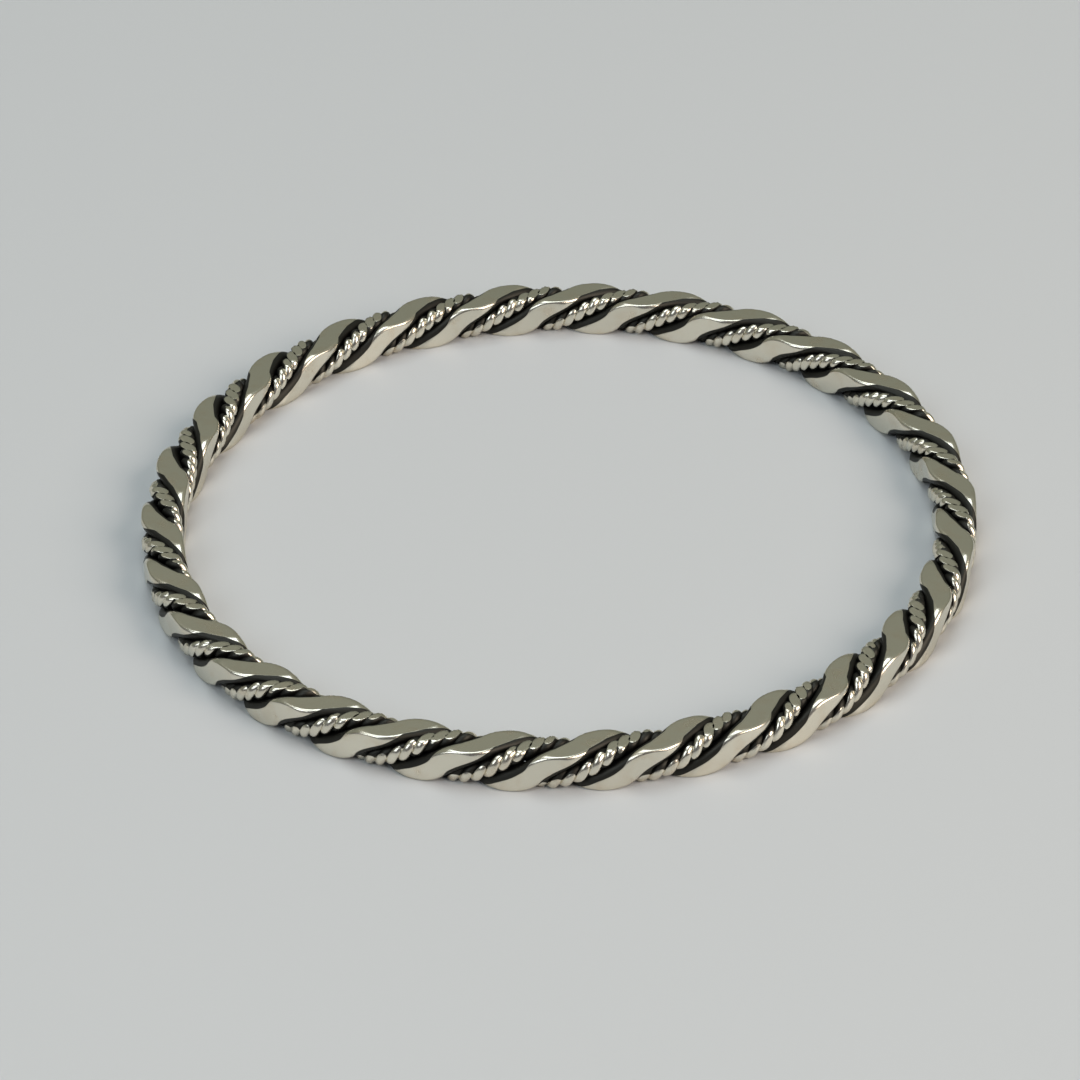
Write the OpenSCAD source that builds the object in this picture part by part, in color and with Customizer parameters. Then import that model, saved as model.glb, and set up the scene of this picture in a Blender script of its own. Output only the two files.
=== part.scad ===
// Closed bangle of square bar: two plain wires and two ropes twisted together, then rolled flat
// on the top, bottom, inside and outside. It lies on its side on z = 0, round the Z axis.
// An angle "round the ring" runs anticlockwise from +X, seen from above. An angle "round the bar"
// is measured in the bar's own section: 0 points away from the middle of the ring, 90 points up.

/* [Ring] */
// Clear width across the inside of the bangle
inner_d = 63.5; // [56:0.5:72]
// Width of the rolled bar, from the inside of the ring to the outside
bar_w = 3.5; // [3.4:0.05:3.7]
// Height of the rolled bar, as the bangle lies
bar_h = 3.4; // [3.3:0.05:3.6]
// Radius that rolling leaves on the four edges of the bar
edge_r = 0.3; // [0.2:0.05:0.8]

/* [Twist] */
// Times that a plain wire crosses the top face in one trip round the ring (an odd number)
crossings = 27; // [23:2:31]
// Angle round the bar of the first plain wire, before its drift, where the trip starts
first_angle = -3; // [-180:1:180]
// Angle round the bar by which the rope follows the plain wire ahead of it
rope_lag = 89; // [87:1:91]

/* [Plain wires] */
// Distance from the middle of the bar to the middle of a plain wire
wire_orbit = 1.1; // [1.08:0.01:1.16]
// Width of a plain wire across its middle, as rolling leaves it
wire_w = 1.78; // [1.7:0.02:1.8]
// From a plain wire's middle out to its crown, before the crown is rolled down to the bar's face
wire_rise = 0.82; // [0.76:0.02:0.9]
// From a plain wire's middle in to its back, which rolling has pressed towards the bar's middle
wire_depth = 0.8; // [0.7:0.02:0.9]
// How much narrower a plain wire is at its back than across its middle, as a share
wire_taper = 0.4; // [0.3:0.05:0.6]
// How far rolling has spread a plain wire out at the edges of the bar, as a share
wire_spread = 0.25; // [0.1:0.05:0.35]

/* [Ropes] */
// Distance from the middle of the bar to the middle of a rope
rope_orbit = 1.3; // [1.28:0.01:1.34]
// Thickness of each rope, which is two fine wires twisted together
rope_d = 1.38; // [1.3:0.02:1.4]

/* [Facets] */
// Sections along each strand for one full turn round the bar
sections_per_turn = 12; // [10:1:14]

/* [Hidden] */

ring_r = inner_d / 2 + bar_w / 2;
turns = crossings / 2;
radians_per_mm = turns / ring_r;

// A strand ends its first trip half a turn round the bar from where it began, so it takes two
// trips to come back to its own start: each pair of strands is soldered into one closed loop.
trips = 2;
section_count = trips * turns * sections_per_turn;

// A hand-made twist is tighter in some places than in others. Each row is one slow drift of the
// twist: how often it comes round, where round the ring it peaks, and how far it then runs ahead.
TIMES = 0;
PEAK = 1;
SWING = 2;
drifts = [
    [1, 353, 42],
    [2, 302, 16],
    [3, 3, 7],
];

// A strand's outline, as points from its own middle: x runs away from the bar's middle, y sideways
wire_outline = [
    for (a = [0, 28, 56, 80, 135, 225, 280, 304, 332])
        let (across = wire_w / 2 * (1 - wire_taper * max(-cos(a), 0)))
        [(cos(a) > 0 ? wire_rise : wire_depth) * cos(a), across * sin(a)]
];
rope_outline = [for (a = [0, 55, 115, 180, 245, 305]) rope_d / 2 * [cos(a), sin(a)]];

// Stands in for zero where it would be divided by
least = 1e-9;

silver = [0.78, 0.77, 0.73];
dark_silver = [0.46, 0.45, 0.42];

// Angle round the bar of the first plain wire, at an angle round the ring
function twist(ring_angle) =
    let (ahead = [for (d = drifts) d[SWING] * cos(d[TIMES] * (ring_angle - d[PEAK]))])
    first_angle + turns * ring_angle + ahead * [for (a = ahead) 1];

// Distance from the middle of the bar to its rolled face, at an angle round the bar
function bar_reach(bar_angle) =
    let (
        across = abs(cos(bar_angle)),
        up = abs(sin(bar_angle)),
        to_flat = min(bar_w / 2 / max(across, least), bar_h / 2 / max(up, least)),
        edge_mid = [bar_w / 2 - edge_r, bar_h / 2 - edge_r],
        at_edge = to_flat * across > edge_mid.x && to_flat * up > edge_mid.y,
        along = edge_mid * [across, up]
    )
    at_edge ? along + sqrt(along ^ 2 - edge_mid * edge_mid + edge_r ^ 2) : to_flat;

// One point of a strand's outline, in the bar's section. Rolling spreads a strand towards the edges
// of the bar, and what would still stand proud of a rolled face lies in it.
// The strand leans, so a point off its middle belongs to a disc a little further along the bar.
function strand_point(strand_angle, orbit, point, spread) =
    let (
        lean = atan(orbit * radians_per_mm),
        out = orbit + point.x,
        side = point.y * cos(lean),
        carried = point.y * sin(lean) * radians_per_mm * 180 / PI,
        bar_angle = strand_angle + atan2(side, out) + carried,
        to_edge = 1 / max(abs(cos(bar_angle)), abs(sin(bar_angle))),
        loose = norm([out, side]) * min(to_edge, 1 + spread)
    )
    min(loose, bar_reach(bar_angle)) * [cos(bar_angle), sin(bar_angle)];

// A point of the bar's section, set in place at an angle round the ring
function on_ring(ring_angle, point) =
    let (r = ring_r + point.x)
    [r * cos(ring_angle), r * sin(ring_angle), bar_h / 2 + point.y];

// A strand and its twin on the far side of the bar, as one closed loop that goes round twice
module strand_pair(orbit, outline, spread, lag) {
    sides = len(outline);
    points = [
        for (s = [0 : section_count - 1])
            let (ring_angle = 360 * trips * s / section_count)
            for (point = outline)
                on_ring(ring_angle, strand_point(twist(ring_angle) - lag, orbit, point, spread))
    ];
    faces = [
        for (s = [0 : section_count - 1], c = [0 : sides - 1])
            let (
                next_s = (s + 1) % section_count,
                next_c = (c + 1) % sides,
                a = s * sides + c,
                b = s * sides + next_c,
                d = next_s * sides + c,
                e = next_s * sides + next_c
            )
            each [[a, b, d], [b, e, d]]
    ];
    polyhedron(points, faces, convexity = 10);
}

// The two plain wires
module plain_wire() {
    color(silver) strand_pair(wire_orbit, wire_outline, wire_spread, 0);
}

// The two ropes, each as the plain round form of its two fine wires
module twisted_rope() {
    color(dark_silver) strand_pair(rope_orbit, rope_outline, 0, rope_lag);
}

plain_wire();
twisted_rope();
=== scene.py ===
import math

import bpy
from bpy.props import FloatProperty, FloatVectorProperty, IntProperty, PointerProperty
from mathutils import Matrix, Vector


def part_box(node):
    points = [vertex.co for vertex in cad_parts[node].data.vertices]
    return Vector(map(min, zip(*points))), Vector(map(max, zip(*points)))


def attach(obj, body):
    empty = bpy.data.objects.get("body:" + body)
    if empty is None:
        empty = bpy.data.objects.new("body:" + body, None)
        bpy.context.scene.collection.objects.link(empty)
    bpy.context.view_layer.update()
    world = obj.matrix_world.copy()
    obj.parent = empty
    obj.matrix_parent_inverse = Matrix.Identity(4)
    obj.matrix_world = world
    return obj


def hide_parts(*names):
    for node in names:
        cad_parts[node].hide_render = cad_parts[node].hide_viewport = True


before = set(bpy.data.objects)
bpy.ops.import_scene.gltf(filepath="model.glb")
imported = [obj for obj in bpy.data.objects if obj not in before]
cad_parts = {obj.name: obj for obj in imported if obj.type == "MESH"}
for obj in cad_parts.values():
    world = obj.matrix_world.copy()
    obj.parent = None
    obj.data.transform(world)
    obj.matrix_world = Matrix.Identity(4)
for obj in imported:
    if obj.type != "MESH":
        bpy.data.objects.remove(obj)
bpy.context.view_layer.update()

bl_info = {
    "name": "Twisted Silver Bangle",
    "version": (1, 0, 0),
    "blender": (4, 5, 0),
    "location": "3D View > Sidebar > Bangle",
    "description": "A bangle of plain wires and ropes, twisted together and rolled square",
    "category": "Add Mesh",
}

MM = 0.001
BODY = "root"
FULL_TURN = 2 * math.pi


def measure_ring(node):
    """Radius inside the ring, radius outside it and height of the bar, from a node's own points."""
    points = [vertex.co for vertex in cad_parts[node].data.vertices]
    radii = [math.hypot(point.x, point.y) for point in points]
    low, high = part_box(node)
    return min(radii), max(radii), high.z - low.z


INSIDE_R, OUTSIDE_R, BAR_HEIGHT = measure_ring("plain_wire")


# Settings that a user may change. Lengths are in metres and angles in radians.

def length(name, description, default):
    """A property that holds a length."""
    return FloatProperty(
        name=name, description=description, default=default, min=0, unit="LENGTH", precision=6
    )


def angle(name, description, degrees):
    """A property that holds an angle, given in degrees."""
    return FloatProperty(
        name=name, description=description, default=math.radians(degrees), subtype="ANGLE"
    )


def count(name, description, default, least):
    """A property that holds a whole number."""
    return IntProperty(name=name, description=description, default=default, min=least)


def share(name, description, default):
    """A property that holds a number from 0 to 1."""
    return FloatProperty(
        name=name, description=description, default=default, min=0, max=1, subtype="FACTOR"
    )


def radiance(name, description, default):
    """A property that holds the radiance of a light."""
    return FloatProperty(name=name, description=description, default=default, min=0)


def colour(name, description, default):
    """A property that holds a linear colour."""
    return FloatVectorProperty(
        name=name, description=description, default=default, size=3, min=0, subtype="COLOR"
    )


class BangleRing(bpy.types.PropertyGroup):
    """The rolled bar and the twist that its strands share"""

    ring_radius: length(
        "Ring Radius", "From the middle of the ring to the middle of the bar",
        (INSIDE_R + OUTSIDE_R) / 2,
    )
    bar_width: length(
        "Bar Width", "From the inside of the ring to the outside", OUTSIDE_R - INSIDE_R
    )
    bar_height: length("Bar Height", "Height of the bar as the bangle lies", BAR_HEIGHT)
    ease: length(
        "Edge Ease", "How softly a rolled flat turns into the round of a wire", 0.04 * MM
    )
    crossings: count("Crossings", "Times that a plain wire crosses the top in one trip", 27, 1)
    first_angle: angle(
        "First Angle", "Angle round the bar of the first plain wire, where the trip starts", -3
    )
    once_swing: angle("Once Swing", "Most that the drift of one wave runs ahead", 42)
    once_peak: angle("Once Peak", "Where round the ring the drift of one wave peaks", 353)
    twice_swing: angle("Twice Swing", "Most that the drift of two waves runs ahead", 16)
    twice_peak: angle("Twice Peak", "Where round the ring the drift of two waves peaks", 302)
    thrice_swing: angle("Thrice Swing", "Most that the drift of three waves runs ahead", 7)
    thrice_peak: angle("Thrice Peak", "Where round the ring the drift of three waves peaks", 3)


class BangleWires(bpy.types.PropertyGroup):
    """The two thick plain wires"""

    orbit: length("Wire Orbit", "From the middle of the bar to the middle of a wire", 1.1 * MM)
    half_width: length("Half Width", "From the middle of a wire to its side", 0.975 * MM)
    rise: length("Rise", "How far a wire reaches outwards from its own middle", 0.82 * MM)
    depth: length("Depth", "How far a wire reaches inwards from its own middle", 0.95 * MM)
    taper: share("Taper", "How much narrower a wire gets towards the middle of the bar", 0.3)
    squaring: share("Squaring", "How much further out a wire runs at the bar's edges", 0.25)
    edge_reach: length(
        "Edge Reach", "Most that a wire reaches from the bar's middle, at the bar's edges", 2.46 * MM
    )
    polish_start: length(
        "Polish Start", "How far above a flat a wire stood where its polish begins", 0.025 * MM
    )
    polish_reach: length(
        "Polish Reach", "Reach before rolling past which a wire is polished all round", 1.77 * MM
    )
    sections: count("Sections", "Sections along a wire's whole loop", 2592, 3)
    sides: count("Sides", "Points round a wire", 36, 3)
    bunching: share("Bunching", "How closely the points crowd on the outer side", 0.55)


class BangleRopes(bpy.types.PropertyGroup):
    """The two ropes, each of two fine wires"""

    lag: angle("Rope Lag", "Angle round the bar by which a rope follows the plain wire", 88)
    lag_swing: angle("Lag Swing", "Most that it grows beside the bar, and shrinks above and below", 4.5)
    top_gain: share("Top Gain", "How much further a rope bulged above than beside the bar", 0.145)
    orbit: length("Rope Orbit", "From the middle of the bar to the middle of a rope", 1.19 * MM)
    fine_radius: length("Fine Wire Radius", "Radius of one fine wire", 0.43 * MM)
    fine_orbit: length("Fine Wire Orbit", "From the middle of a rope to a fine wire's", 0.26 * MM)
    fine_turns: count("Fine Turns", "Turns of the fine wires in a rope's whole loop", 189, 1)
    fine_start: angle("Fine Start", "Angle of the first fine wire round its rope", 0)
    sections: count("Sections", "Sections along a fine wire's whole loop", 3780, 3)
    sides: count("Sides", "Points round a fine wire", 26, 3)
    bunching: share("Bunching", "How closely the points crowd on the outer side", 0.35)
    edge_reach: length(
        "Edge Reach", "Most that a rope reaches from the bar's middle, at the bar's edges", 2.08 * MM
    )
    polish_start: length(
        "Polish Start", "How far above a flat a fine wire stood where its polish begins",
        0.06 * MM,
    )
    polish_reach: length(
        "Polish Reach", "Reach before rolling past which a rope is polished all round", 1.6 * MM
    )


class BangleFinish(bpy.types.PropertyGroup):
    """Polished silver, and the black that was left between the strands"""

    silver: colour("Silver", "Colour of the polished metal", (0.775, 0.735, 0.615))
    tarnish: colour("Tarnish", "Colour of polished metal that has begun to dull", (0.735, 0.665, 0.53))
    black: colour("Black", "Colour of the blackened metal", (0.046, 0.045, 0.039))
    silver_roughness: share("Silver Roughness", "Roughness of the polished metal", 0.24)
    tarnish_roughness: share("Tarnish Roughness", "Roughness where it has begun to dull", 0.28)
    black_roughness: share("Black Roughness", "Roughness of the blackened metal", 0.5)
    polish_blur: length("Polish Blur", "Distance over which polish gives way to black", 0.03 * MM)
    polish_wander: length("Polish Wander", "How far the edge of the polish strays", 0.02 * MM)
    line_width: length("Line Width", "Width of the fine lines that rolling leaves", 0.12 * MM)
    line_stretch: FloatProperty(
        name="Line Stretch", description="How many times longer than wide the lines are",
        default=14, min=1,
    )
    line_height: length("Line Height", "Height of the lines", 0.0004 * MM)
    wave_size: length("Wave Size", "Size of the slow waves in the flats", 5 * MM)
    wave_height: length("Wave Height", "Height of the waves", 0.05 * MM)


class BangleStage(bpy.types.PropertyGroup):
    """Floor, light and camera"""

    floor_size: length("Floor Size", "Side of the square floor", 4)
    floor: colour("Floor", "Colour of the floor", (0.635, 0.655, 0.665))
    floor_roughness: share("Floor Roughness", "Roughness of the floor", 0.4)
    floor_specular: share("Floor Specular", "How much the floor shines", 0.3)
    key_light: radiance("Key Light", "Radiance of the warm softbox at the right", 5.0)
    fill_light: radiance("Fill Light", "Radiance of the cool softbox at the left", 2.35)
    overhead_light: radiance("Overhead Light", "Radiance of the softbox overhead", 2.7)
    room_front: colour("Room In Front", "Light from the room behind the camera", (0.12, 0.12, 0.13))
    room_low: colour("Room Low", "Light from low in the far side of the room", (0.213, 0.228, 0.195))
    room_high: colour("Room High", "Light from higher up there", (0.269, 0.275, 0.231))
    aim: FloatVectorProperty(
        name="Aim", description="Point that the camera looks at", size=3, unit="LENGTH",
        default=(-1.624 * MM, -0.919 * MM, 0),
    )
    azimuth: angle("Azimuth", "Turn of the camera round the bangle", 0.328)
    elevation: angle("Elevation", "Height of the camera above the floor", 35.106)
    roll: angle("Roll", "Turn of the camera about its own line of sight", 1.266)
    distance: length("Distance", "From the camera to the point that it looks at", 345.14 * MM)
    lens: FloatProperty(
        name="Lens", description="Focal length of the camera", default=135.61, min=1,
        unit="CAMERA",
    )


# Node trees.

class Number:
    """A number that nodes work out, so that a formula in a tree reads as plain arithmetic."""

    def __init__(self, tree, socket):
        self.tree = tree
        self.socket = socket

    def math(self, operation, *others):
        """The result of one Math node."""
        node = self.tree.nodes.new("ShaderNodeMath")
        node.operation = operation
        for socket, value in zip(node.inputs, (self, *others)):
            feed(self.tree, socket, value)
        return Number(self.tree, node.outputs[0])

    def __add__(self, other):
        return self.math("ADD", other)

    def __sub__(self, other):
        return self.math("SUBTRACT", other)

    def __mul__(self, other):
        return self.math("MULTIPLY", other)

    def __truediv__(self, other):
        return self.math("DIVIDE", other)

    def __neg__(self):
        return self.math("MULTIPLY", -1)

    def sine(self):
        return self.math("SINE")

    def cosine(self):
        return self.math("COSINE")


def feed(tree, socket, value):
    """Links a socket from a Number or another socket, or sets it to a plain value."""
    if isinstance(value, Number):
        value = value.socket
    if isinstance(value, bpy.types.NodeSocket):
        tree.links.new(value, socket)
    else:
        socket.default_value = value


def add_node(tree, kind, inputs=None, **settings):
    """Adds a node with its settings, and with inputs that feed() understands."""
    node = tree.nodes.new(kind)
    for name, value in settings.items():
        setattr(node, name, value)
    for key, value in (inputs or {}).items():
        feed(tree, node.inputs[key], value)
    return node


def number_sockets(*names):
    """Sockets for new_group() that each take a plain number."""
    return dict.fromkeys(names, "NodeSocketFloat")


def new_group(name, kind, inputs, outputs):
    """A node group with named sockets, and a function that reads one of its inputs as a Number."""
    tree = bpy.data.node_groups.new(name, kind)
    for in_out, sockets in (("INPUT", inputs), ("OUTPUT", outputs)):
        for label, socket_type in sockets.items():
            tree.interface.new_socket(label, in_out=in_out, socket_type=socket_type)
    entry = tree.nodes.new("NodeGroupInput")

    def read(label):
        return Number(tree, entry.outputs[label])

    return tree, read


def finish_group(tree, outputs):
    """Feeds a group's outputs, and lays its nodes out in columns."""
    end = add_node(tree, "NodeGroupOutput", inputs=outputs)
    arrange(tree, end)


def coordinates(tree, vector):
    """The x, y and z of a point, and how far it lies from the ring's axis."""
    parts = add_node(tree, "ShaderNodeSeparateXYZ", {0: vector})
    x, y, z = (Number(tree, socket) for socket in parts.outputs)
    return x, y, z, (x * x + y * y).math("SQRT")


def settings_for(inputs, *groups):
    """Values for a tree's inputs: "Fine Orbit", say, gets what a group of settings has as fine_orbit."""
    values = {}
    for name in inputs:
        key = name.lower().replace(" ", "_")
        for group in groups:
            if hasattr(group, key):
                values[name] = getattr(group, key)
    return values


# Room for one node when a tree is laid out, in the node editor's own units.
COLUMN_WIDTH = 200
ROW_HEIGHT = 180


def arrange(tree, end):
    """Lays nodes out from right to left, by how many links they stand before the last one."""
    depth = {end: 0}
    waiting = [end]
    while waiting:
        node = waiting.pop()
        for socket in node.inputs:
            for link in socket.links:
                if depth.get(link.from_node, -1) < depth[node] + 1:
                    depth[link.from_node] = depth[node] + 1
                    waiting.append(link.from_node)
    rows = {}
    for node, column in depth.items():
        row = rows.get(column, 0)
        rows[column] = row + 1
        node.location = (-column * COLUMN_WIDTH, -row * ROW_HEIGHT)


# Shape: one tree sweeps a strand, and another rolls it square.

# The numbers that the strand tree takes: those for rolling the strand, those for the path of its
# middle and those for its outline.
ROLL_NUMBERS = (
    "Ring Radius", "Bar Width", "Bar Height", "Ease", "Squaring", "Top Gain", "Crown Reach",
    "Edge Reach",
)
PATH_NUMBERS = (
    "Crossings", "First Angle", "Once Swing", "Once Peak", "Twice Swing", "Twice Peak",
    "Thrice Swing", "Thrice Peak", "Lag", "Lag Swing", "Orbit", "Fine Orbit", "Fine Turns",
    "Fine Start",
)
OUTLINE_NUMBERS = ("Half Width", "Rise", "Depth", "Taper", "Bunching")

STRAND_INPUTS = number_sockets(*ROLL_NUMBERS, *PATH_NUMBERS, *OUTLINE_NUMBERS) | {
    "Sections": "NodeSocketInt",
    "Sides": "NodeSocketInt",
    "Material": "NodeSocketMaterial",
}

# The attribute that says how far a point stood proud of the bar's flats before it was pressed onto
# them. It is less than 0 for a point that lay inside them.
PROUD = "proud"

# The attribute that says how high on its strand a point lies: how far it reached from the bar's
# middle as it was swept, counted as less where a rope bulges, and as more at the bar's edges.
CROWN = "crown"

# How much more that reach counts at the very edges, as a share, and the power that keeps the
# extra close to them.
EDGE_POLISH = 0.13
EDGE_CLOSENESS = 1.5

# Which way a point lies from the bar's middle is told by two shares, outwards and upwards, that add
# up to 1. Both are a half midway between two flats, where the bar's edges are. Their product is
# greatest there, and the sum of their squares is least.
PRODUCT_AT_EDGE = 0.25
SQUARES_AT_EDGE = 0.5

# How gradually a strand stops following the square as it nears one of the bar's edges, as a share
# of how much further out it runs there.
SQUARING_EASE = 0.6

# How gradually a strand meets the most that it reaches at the edges, in metres.
REACH_EASE = 0.15 * MM

# A strand ends its first trip where its twin began, so its loop takes two trips round the ring.
TRIPS = 2

# Fine wires in each rope.
FINE_WIRES = 2


def roll_square_group():
    """Crowds a strand out into the bar's edges, and presses what stands proud onto the flats."""
    tree, read = new_group(
        "Roll Square", "GeometryNodeTree",
        {"Geometry": "NodeSocketGeometry"} | number_sockets(*ROLL_NUMBERS),
        {"Geometry": "NodeSocketGeometry"},
    )
    position = add_node(tree, "GeometryNodeInputPosition").outputs[0]
    x, y, z, from_axis = coordinates(tree, position)

    def press(place, half):
        """One coordinate of the bar's section, kept between the two flats that it runs to."""
        capped = place.math("SMOOTH_MIN", half, read("Ease"))
        return capped.math("SMOOTH_MAX", -half, read("Ease"))

    round_out = from_axis - read("Ring Radius")
    round_up = z - read("Bar Height") / 2
    from_middle = (round_out * round_out + round_up * round_up).math("SQRT")
    outward_share = (round_out / from_middle).math("POWER", 2)
    upward_share = (round_up / from_middle).math("POWER", 2)

    # How much further out a square runs than a circle, followed only as far as Squaring lets it.
    to_square = from_middle / round_out.math("ABSOLUTE").math("MAXIMUM", round_up.math("ABSOLUTE"))
    squaring = read("Squaring")
    spread = to_square.math("SMOOTH_MIN", squaring + 1, squaring * SQUARING_EASE)
    gain = read("Top Gain") * upward_share + 1

    # The most that a point may reach: Edge Reach for a crown at the bar's edges, less for what lies
    # lower on its strand, and more away from the edges.
    squares = outward_share * outward_share + upward_share * upward_share
    off_edge = (squares / SQUARES_AT_EDGE).math("SQRT")
    most = read("Edge Reach") * (from_middle / read("Crown Reach") * off_edge).math("SQRT")
    reach = (from_middle * spread * gain).math("SMOOTH_MIN", most, REACH_EASE)
    loose_out = round_out * reach / from_middle
    loose_up = round_up * reach / from_middle

    above_side = loose_out.math("ABSOLUTE") - read("Bar Width") / 2
    above_top = loose_up.math("ABSOLUTE") - read("Bar Height") / 2

    # How near to an edge a point lies, from 0 at the middle of a flat to 1.
    nearness = (outward_share * upward_share / PRODUCT_AT_EDGE).math("POWER", EDGE_CLOSENESS)
    crown = from_middle / gain * (nearness * EDGE_POLISH + 1)
    measured = read("Geometry")
    for name, value in ((PROUD, above_side.math("MAXIMUM", above_top)), (CROWN, crown)):
        measured = add_node(
            tree, "GeometryNodeStoreNamedAttribute",
            {"Geometry": measured, "Name": name, "Value": value},
            data_type="FLOAT", domain="POINT",
        ).outputs[0]

    out = press(loose_out, read("Bar Width") / 2)
    up = press(loose_up, read("Bar Height") / 2)
    widening = (read("Ring Radius") + out) / from_axis
    pressed = add_node(
        tree, "ShaderNodeCombineXYZ",
        {0: x * widening, 1: y * widening, 2: up + read("Bar Height") / 2},
    )
    moved = add_node(
        tree, "GeometryNodeSetPosition",
        {"Geometry": measured, "Position": pressed.outputs[0]},
    )
    finish_group(tree, {"Geometry": moved.outputs[0]})
    return tree


def twist_angle(ring_angle, read):
    """Angle round the bar of the first plain wire: an even twist, and three slow drifts of it."""
    turned = read("First Angle") + ring_angle * (read("Crossings") / 2)
    for waves, name in enumerate(("Once", "Twice", "Thrice"), start=1):
        phase = (ring_angle - read(name + " Peak")) * waves
        turned = turned + read(name + " Swing") * phase.cosine()
    return turned


def turn_about_z(tree, parts, ring_angle):
    """A vector given outwards, along the ring and up, turned to its place round the ring."""
    vector = add_node(tree, "ShaderNodeCombineXYZ", dict(enumerate(parts)))
    turned = add_node(
        tree, "ShaderNodeVectorRotate", {"Vector": vector.outputs[0], "Angle": ring_angle},
        rotation_type="Z_AXIS",
    )
    return turned.outputs[0]


def strand_path(tree, read):
    """A closed curve along a wire's middle, whose normal points away from what it winds round."""
    index = Number(tree, add_node(tree, "GeometryNodeInputIndex").outputs[0])
    done = index / read("Sections")
    ring_angle = done * (TRIPS * FULL_TURN)
    even_angle = twist_angle(ring_angle, read) - read("Lag")
    strand_angle = even_angle - read("Lag Swing") * (even_angle * 2).cosine()
    lean = (read("Orbit") * read("Crossings") / 2 / read("Ring Radius")).math("ARCTANGENT")
    fine_angle = read("Fine Start") + done * read("Fine Turns") * FULL_TURN
    side = fine_angle.sine() * lean.cosine()
    outwards = fine_angle.cosine() * strand_angle.cosine() - side * strand_angle.sine()
    onwards = -(fine_angle.sine() * lean.sine())
    upwards = fine_angle.cosine() * strand_angle.sine() + side * strand_angle.cosine()
    middle = (
        read("Ring Radius") + read("Orbit") * strand_angle.cosine() + read("Fine Orbit") * outwards,
        read("Fine Orbit") * onwards,
        read("Bar Height") / 2 + read("Orbit") * strand_angle.sine() + read("Fine Orbit") * upwards,
    )
    normal = (outwards, onwards, upwards)
    loop = add_node(tree, "GeometryNodeCurvePrimitiveCircle", {"Resolution": read("Sections")})
    placed = add_node(
        tree, "GeometryNodeSetPosition",
        {"Geometry": loop.outputs[0], "Position": turn_about_z(tree, middle, ring_angle)},
    )
    return add_node(
        tree, "GeometryNodeSetCurveNormal",
        {"Curve": placed.outputs[0], "Normal": turn_about_z(tree, normal, ring_angle)},
        mode="FREE",
    )


def wire_outline(tree, read):
    """The outline of one wire, with its own reach outwards and inwards."""
    index = Number(tree, add_node(tree, "GeometryNodeInputIndex").outputs[0])
    even = index / read("Sides") * FULL_TURN
    corner = even - read("Bunching") * even.sine()
    outwards = corner.cosine().math("MAXIMUM", 0)
    inwards = corner.cosine().math("MINIMUM", 0)
    side = corner.sine() * read("Half Width") * (inwards * read("Taper") + 1)
    point = add_node(
        tree, "ShaderNodeCombineXYZ",
        {0: outwards * read("Rise") + inwards * read("Depth"), 1: side},
    )
    loop = add_node(tree, "GeometryNodeCurvePrimitiveCircle", {"Resolution": read("Sides")})
    return add_node(
        tree, "GeometryNodeSetPosition",
        {"Geometry": loop.outputs[0], "Position": point.outputs[0]},
    )


def strand_tree():
    """Sweeps one strand along its whole loop and rolls it square."""
    tree, read = new_group(
        "Twisted Strand", "GeometryNodeTree", STRAND_INPUTS, {"Geometry": "NodeSocketGeometry"}
    )
    swept = add_node(
        tree, "GeometryNodeCurveToMesh",
        {"Curve": strand_path(tree, read).outputs[0],
         "Profile Curve": wire_outline(tree, read).outputs[0]},
    )
    rolling = {name: read(name) for name in ROLL_NUMBERS}
    rolled = add_node(
        tree, "GeometryNodeGroup", {"Geometry": swept.outputs[0]} | rolling,
        node_tree=roll_square_group(),
    )
    smooth = add_node(tree, "GeometryNodeSetShadeSmooth", {"Geometry": rolled.outputs[0]})
    real = add_node(tree, "GeometryNodeRealizeInstances", {"Geometry": smooth.outputs[0]})
    finished = add_node(
        tree, "GeometryNodeSetMaterial",
        {"Geometry": real.outputs[0], "Material": read("Material")},
    )
    finish_group(tree, {"Geometry": finished.outputs[0]})
    return tree


def build_strand(name, values):
    """A plain mesh object from the strand tree. A number that isn't among the values is 0."""
    tree = bpy.data.node_groups.get("Twisted Strand") or strand_tree()
    piece = bpy.data.objects.new(name, bpy.data.meshes.new(name))
    bpy.context.scene.collection.objects.link(piece)
    modifier = piece.modifiers.new("Strand", "NODES")
    modifier.node_group = tree
    for item in tree.interface.items_tree:
        if item.in_out == "INPUT":
            value = values.get(item.name, 0)
            is_float = item.socket_type == "NodeSocketFloat"
            modifier[item.identifier] = float(value) if is_float else value
    graph = bpy.context.evaluated_depsgraph_get()
    mesh = bpy.data.meshes.new_from_object(piece.evaluated_get(graph), depsgraph=graph)
    piece.modifiers.remove(modifier)
    piece.data = mesh
    if not mesh.polygons:
        raise RuntimeError(f"{name} came out empty")
    return piece


# Finish.

# Size of the patches in which the polish dulls and its edge strays, in metres.
PATCH_SIZE = 1.6 * MM

# How many finer layers each noise has.
PATCH_DETAIL = 2.0
LINE_DETAIL = 1.0
WAVE_DETAIL = 0.0

# Where, in a noise that runs from 0 to 1, dulling sets in and where it is complete.
DULL_FROM = 0.45
DULL_TO = 0.75

# What the finish's two node groups take.
BLACKENING_INPUTS = number_sockets(
    "Polish Start", "Polish Reach", "Polish Blur", "Polish Wander"
)
WEAR_INPUTS = number_sockets(
    "Line Width", "Line Stretch", "Line Height", "Wave Size", "Wave Height"
)


def noise(tree, scale, detail, inputs, **settings):
    """A noise from 0 to 1, with about as many features in a metre as its scale."""
    node = add_node(
        tree, "ShaderNodeTexNoise", {"Scale": scale, "Detail": detail} | inputs, **settings
    )
    return Number(tree, node.outputs[0])


def step(tree, value, low, high):
    """Runs smoothly from 0 at low to 1 at high."""
    node = add_node(
        tree, "ShaderNodeMapRange", {"Value": value, "From Min": low, "From Max": high},
        interpolation_type="SMOOTHSTEP",
    )
    return Number(tree, node.outputs["Result"])


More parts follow.
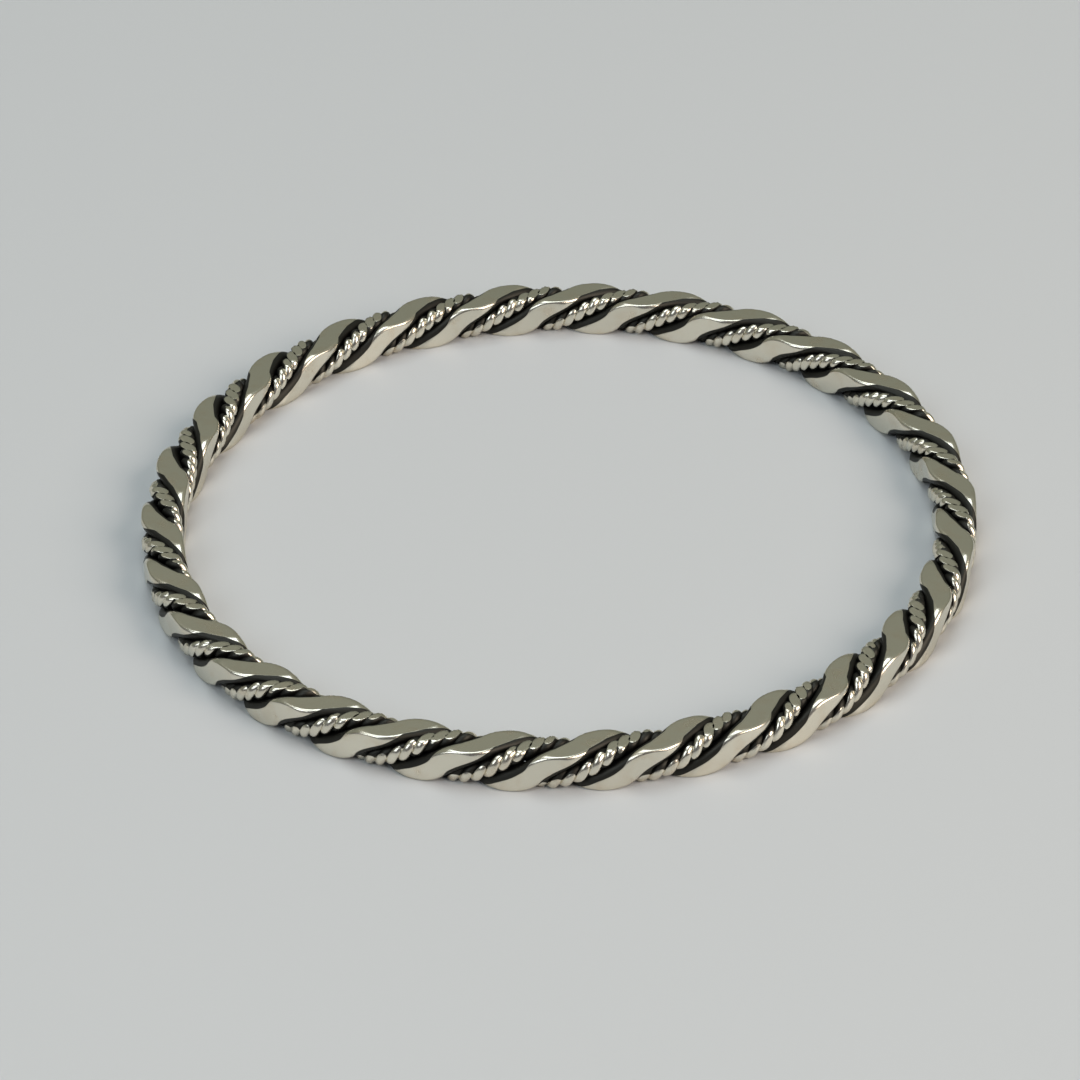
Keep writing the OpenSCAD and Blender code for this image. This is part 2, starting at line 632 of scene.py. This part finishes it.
def blend(factor, low, high):
    """A number that runs from low to high as the factor runs from 0 to 1."""
    return factor * (high - low) + low


def mix_colour(tree, factor, low, high):
    """A colour that runs likewise from low to high, each of them a colour or a socket."""
    node = add_node(tree, "ShaderNodeMix", data_type="RGBA")
    inputs = {socket.identifier: socket for socket in node.inputs}
    feed(tree, inputs["Factor_Float"], factor)
    for side, value in (("A_Color", low), ("B_Color", high)):
        is_socket = isinstance(value, bpy.types.NodeSocket)
        feed(tree, inputs[side], value if is_socket else (*value, 1))
    return next(s for s in node.outputs if s.identifier == "Result_Color")


def blackening_group():
    """1 where the metal is polished, on the flats and on the outermost crowns, else 0."""
    tree, read = new_group(
        "Blackening", "ShaderNodeTree", BLACKENING_INPUTS, number_sockets("Polish")
    )
    place = add_node(tree, "ShaderNodeTexCoord").outputs["Object"]
    patches = noise(tree, 1 / PATCH_SIZE, PATCH_DETAIL, {"Vector": place})
    stray = (patches * 2 - 1) * read("Polish Wander")

    def past(attribute, start):
        """1 where an attribute is past its start, and 0 below it."""
        node = add_node(tree, "ShaderNodeAttribute", attribute_name=attribute)
        value = Number(tree, node.outputs["Fac"]) + stray
        return step(tree, value, start, start + read("Polish Blur"))

    flat = past(PROUD, read("Polish Start"))
    crown = past(CROWN, read("Polish Reach"))
    finish_group(tree, {"Polish": flat.math("MAXIMUM", crown)})
    return tree


def wear_group():
    """Fine lines along the ring and slow waves, as a height, and patches where the polish dulls."""
    tree, read = new_group(
        "Wear", "ShaderNodeTree", WEAR_INPUTS, number_sockets("Height", "Dulling")
    )
    place = add_node(tree, "ShaderNodeTexCoord").outputs["Object"]
    x, y, z, from_axis = coordinates(tree, place)
    stretch = read("Line Stretch")
    drawn_out = add_node(
        tree, "ShaderNodeCombineXYZ", {0: x / stretch, 1: y / stretch, 2: from_axis}
    )
    lines = noise(
        tree, read("Line Width").math("POWER", -1), LINE_DETAIL,
        {"Vector": drawn_out.outputs[0], "W": z}, noise_dimensions="4D",
    )
    waves = noise(tree, read("Wave Size").math("POWER", -1), WAVE_DETAIL, {"Vector": place})
    height = lines * read("Line Height") + waves * read("Wave Height")
    patches = noise(tree, 1 / PATCH_SIZE, PATCH_DETAIL, {"Vector": place})
    finish_group(tree, {"Height": height, "Dulling": step(tree, patches, DULL_FROM, DULL_TO)})
    return tree


def silver_material(name, strands):
    """Polished silver, dulled here and there, and black where the mask of its blackening says so."""
    finish = bpy.context.scene.bangle.finish
    material = bpy.data.materials.new(name)
    material.use_nodes = True
    tree = material.node_tree
    tree.nodes.clear()
    black = add_node(
        tree, "ShaderNodeGroup", settings_for(BLACKENING_INPUTS, strands, finish),
        node_tree=bpy.data.node_groups.get("Blackening") or blackening_group(),
    )
    wear = add_node(
        tree, "ShaderNodeGroup", settings_for(WEAR_INPUTS, finish),
        node_tree=bpy.data.node_groups.get("Wear") or wear_group(),
    )
    polish = Number(tree, black.outputs["Polish"])
    dulling = Number(tree, wear.outputs["Dulling"])
    metal = mix_colour(tree, dulling, finish.silver, finish.tarnish)
    polished_roughness = blend(dulling, finish.silver_roughness, finish.tarnish_roughness)
    bump = add_node(tree, "ShaderNodeBump", {"Height": wear.outputs["Height"], "Distance": 1.0})
    shader = add_node(
        tree, "ShaderNodeBsdfPrincipled",
        {"Base Color": mix_colour(tree, polish, finish.black, metal), "Metallic": 1.0,
         "Roughness": blend(polish, finish.black_roughness, polished_roughness),
         "Normal": bump.outputs[0]},
    )
    end = add_node(tree, "ShaderNodeOutputMaterial", {"Surface": shader.outputs[0]})
    arrange(tree, end)
    return material


class MakePlainWires(bpy.types.Operator):
    """Sweep the two plain wires, as one closed loop that goes round twice"""

    bl_idname = "bangle.make_plain_wires"
    bl_label = "Make Plain Wires"

    def execute(self, context):
        settings = context.scene.bangle
        wires = settings.wires
        values = settings_for(STRAND_INPUTS, settings.ring, wires) | {
            "Crown Reach": wires.orbit + wires.rise,
            "Material": silver_material("Plain Silver", wires),
        }
        piece = build_strand("plain_wires", values)
        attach(piece, BODY)
        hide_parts("plain_wire")
        return {"FINISHED"}


class MakeRopeWires(bpy.types.Operator):
    """Sweep the fine wires of the ropes, each as one closed loop that goes round twice"""

    bl_idname = "bangle.make_rope_wires"
    bl_label = "Make Rope Wires"

    def execute(self, context):
        settings = context.scene.bangle
        ropes = settings.ropes
        shared = settings_for(STRAND_INPUTS, settings.ring, ropes) | {
            "Half Width": ropes.fine_radius,
            "Rise": ropes.fine_radius,
            "Depth": ropes.fine_radius,
            "Crown Reach": ropes.orbit + ropes.fine_orbit + ropes.fine_radius,
            "Material": silver_material("Rope Silver", ropes),
        }
        for number in range(FINE_WIRES):
            fine_start = ropes.fine_start + number * FULL_TURN / FINE_WIRES
            values = shared | {"Fine Start": fine_start}
            piece = build_strand(f"rope_wire_{number + 1}", values)
            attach(piece, BODY)
            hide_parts("twisted_rope")
        return {"FINISHED"}


WARM = (1.0, 0.87, 0.77)
COOL = (0.87, 0.96, 1.03)

# How each softbox hangs: its direction from the middle of the ring, how far off it is and its
# side, both in metres, and the tint of its light.
KEY_BOX = {"direction": (0.75, -0.42, 0.62), "distance": 1.1, "size": 0.72, "tint": WARM}
FILL_BOX = {"direction": (-0.55, -0.5, 0.7), "distance": 1.1, "size": 0.62, "tint": COOL}
OVERHEAD_BOX = {"direction": (-0.1, 0.2, 1), "distance": 1.2, "size": 0.69, "tint": COOL}


def make_softbox(name, strength, direction, distance, size, tint):
    """A square softbox that faces the middle of the ring. Its strength is its radiance."""
    data = bpy.data.lights.new(name, "AREA")
    data.shape = "SQUARE"
    data.size = size
    data.color = tint
    data.energy = strength * math.pi * size * size
    light = bpy.data.objects.new(name, data)
    away = Vector(direction).normalized()
    light.location = away * distance
    light.rotation_euler = away.to_track_quat("Z", "Y").to_euler()
    light.visible_camera = False
    bpy.context.scene.collection.objects.link(light)


class SetUpStage(bpy.types.Operator):
    """Lay the floor, hang the light and place the camera"""

    bl_idname = "bangle.set_up_stage"
    bl_label = "Set Up Stage"

    def execute(self, context):
        stage = context.scene.bangle.stage
        make_floor(stage)
        make_world(stage)
        make_softbox("Key", stage.key_light, **KEY_BOX)
        make_softbox("Fill", stage.fill_light, **FILL_BOX)
        make_softbox("Overhead", stage.overhead_light, **OVERHEAD_BOX)
        place_camera(stage)
        context.scene.view_settings.view_transform = "Standard"
        return {"FINISHED"}


def make_floor(stage):
    """A plain pale floor, level with the origin."""
    half = stage.floor_size / 2
    corners = [(-half, -half, 0), (half, -half, 0), (half, half, 0), (-half, half, 0)]
    mesh = bpy.data.meshes.new("floor")
    mesh.from_pydata(corners, [], [(0, 1, 2, 3)])
    floor = bpy.data.objects.new("floor", mesh)
    bpy.context.scene.collection.objects.link(floor)
    material = bpy.data.materials.new("Floor")
    material.use_nodes = True
    shader = material.node_tree.nodes["Principled BSDF"]
    shader.inputs["Base Color"].default_value = (*stage.floor, 1)
    shader.inputs["Roughness"].default_value = stage.floor_roughness
    shader.inputs["Specular IOR Level"].default_value = stage.floor_specular
    mesh.materials.append(material)


# How far back or how high a direction points, from -1 to 1, where one part of the room gives way
# to the next.
FRONT_ENDS = -0.7
BACK_STARTS = 0.5
LOW_ENDS = 0.48
HIGH_STARTS = 0.68


def make_world(stage):
    """A dim room: dark in front, where the camera is, and lighter towards the top at the back."""
    world = bpy.data.worlds.new("Room")
    bpy.context.scene.world = world
    world.use_nodes = True
    tree = world.node_tree
    tree.nodes.clear()
    place = add_node(tree, "ShaderNodeTexCoord")
    parts = add_node(tree, "ShaderNodeSeparateXYZ", {0: place.outputs["Generated"]})
    height = step(tree, parts.outputs[2], LOW_ENDS, HIGH_STARTS)
    back = mix_colour(tree, height, stage.room_low, stage.room_high)
    behind = step(tree, parts.outputs[1], FRONT_ENDS, BACK_STARTS)
    tint = mix_colour(tree, behind, stage.room_front, back)
    light = add_node(tree, "ShaderNodeBackground", {"Color": tint, "Strength": 1.0})
    end = add_node(tree, "ShaderNodeOutputWorld", {"Surface": light.outputs[0]})
    arrange(tree, end)


def place_camera(stage):
    """The camera, at the photograph's angle to the bangle."""
    data = bpy.data.cameras.new("Camera")
    data.lens = stage.lens
    camera = bpy.data.objects.new("Camera", data)
    aim = Matrix.Translation(stage.aim)
    turn = Matrix.Rotation(stage.azimuth, 4, "Z")
    tilt = Matrix.Rotation(math.pi / 2 - stage.elevation, 4, "X")
    roll = Matrix.Rotation(-stage.roll, 4, "Z")
    back = Matrix.Translation((0, 0, stage.distance))
    camera.matrix_world = aim @ turn @ tilt @ back @ roll
    bpy.context.scene.collection.objects.link(camera)
    bpy.context.scene.camera = camera


class BangleSettings(bpy.types.PropertyGroup):
    """Everything that a user may change"""

    ring: PointerProperty(type=BangleRing)
    wires: PointerProperty(type=BangleWires)
    ropes: PointerProperty(type=BangleRopes)
    finish: PointerProperty(type=BangleFinish)
    stage: PointerProperty(type=BangleStage)


class BanglePanel(bpy.types.Panel):
    """Settings and steps, in the 3D view's sidebar"""

    bl_idname = "VIEW3D_PT_bangle"
    bl_label = "Twisted Silver Bangle"
    bl_space_type = "VIEW_3D"
    bl_region_type = "UI"
    bl_category = "Bangle"

    def draw(self, context):
        settings = context.scene.bangle
        for group in (settings.ring, settings.wires, settings.ropes, settings.finish,
                      settings.stage):
            box = self.layout.box()
            for name in group.bl_rna.properties.keys():
                if name not in ("rna_type", "name"):
                    box.prop(group, name)
        for operator in OPERATORS:
            self.layout.operator(operator.bl_idname)


GROUPS = (BangleRing, BangleWires, BangleRopes, BangleFinish, BangleStage, BangleSettings)
OPERATORS = (MakePlainWires, MakeRopeWires, SetUpStage)


def register():
    """Makes the settings, operators and panel known to Blender."""
    for kind in (*GROUPS, *OPERATORS, BanglePanel):
        bpy.utils.register_class(kind)
    bpy.types.Scene.bangle = PointerProperty(type=BangleSettings)


def unregister():
    """Takes them away again, in reverse."""
    del bpy.types.Scene.bangle
    for kind in reversed((*GROUPS, *OPERATORS, BanglePanel)):
        bpy.utils.unregister_class(kind)


def main():
    """Builds the whole scene from the default settings."""
    register()
    bpy.ops.bangle.set_up_stage()
    bpy.ops.bangle.make_plain_wires()
    bpy.ops.bangle.make_rope_wires()


if __name__ == "__main__":
    main()
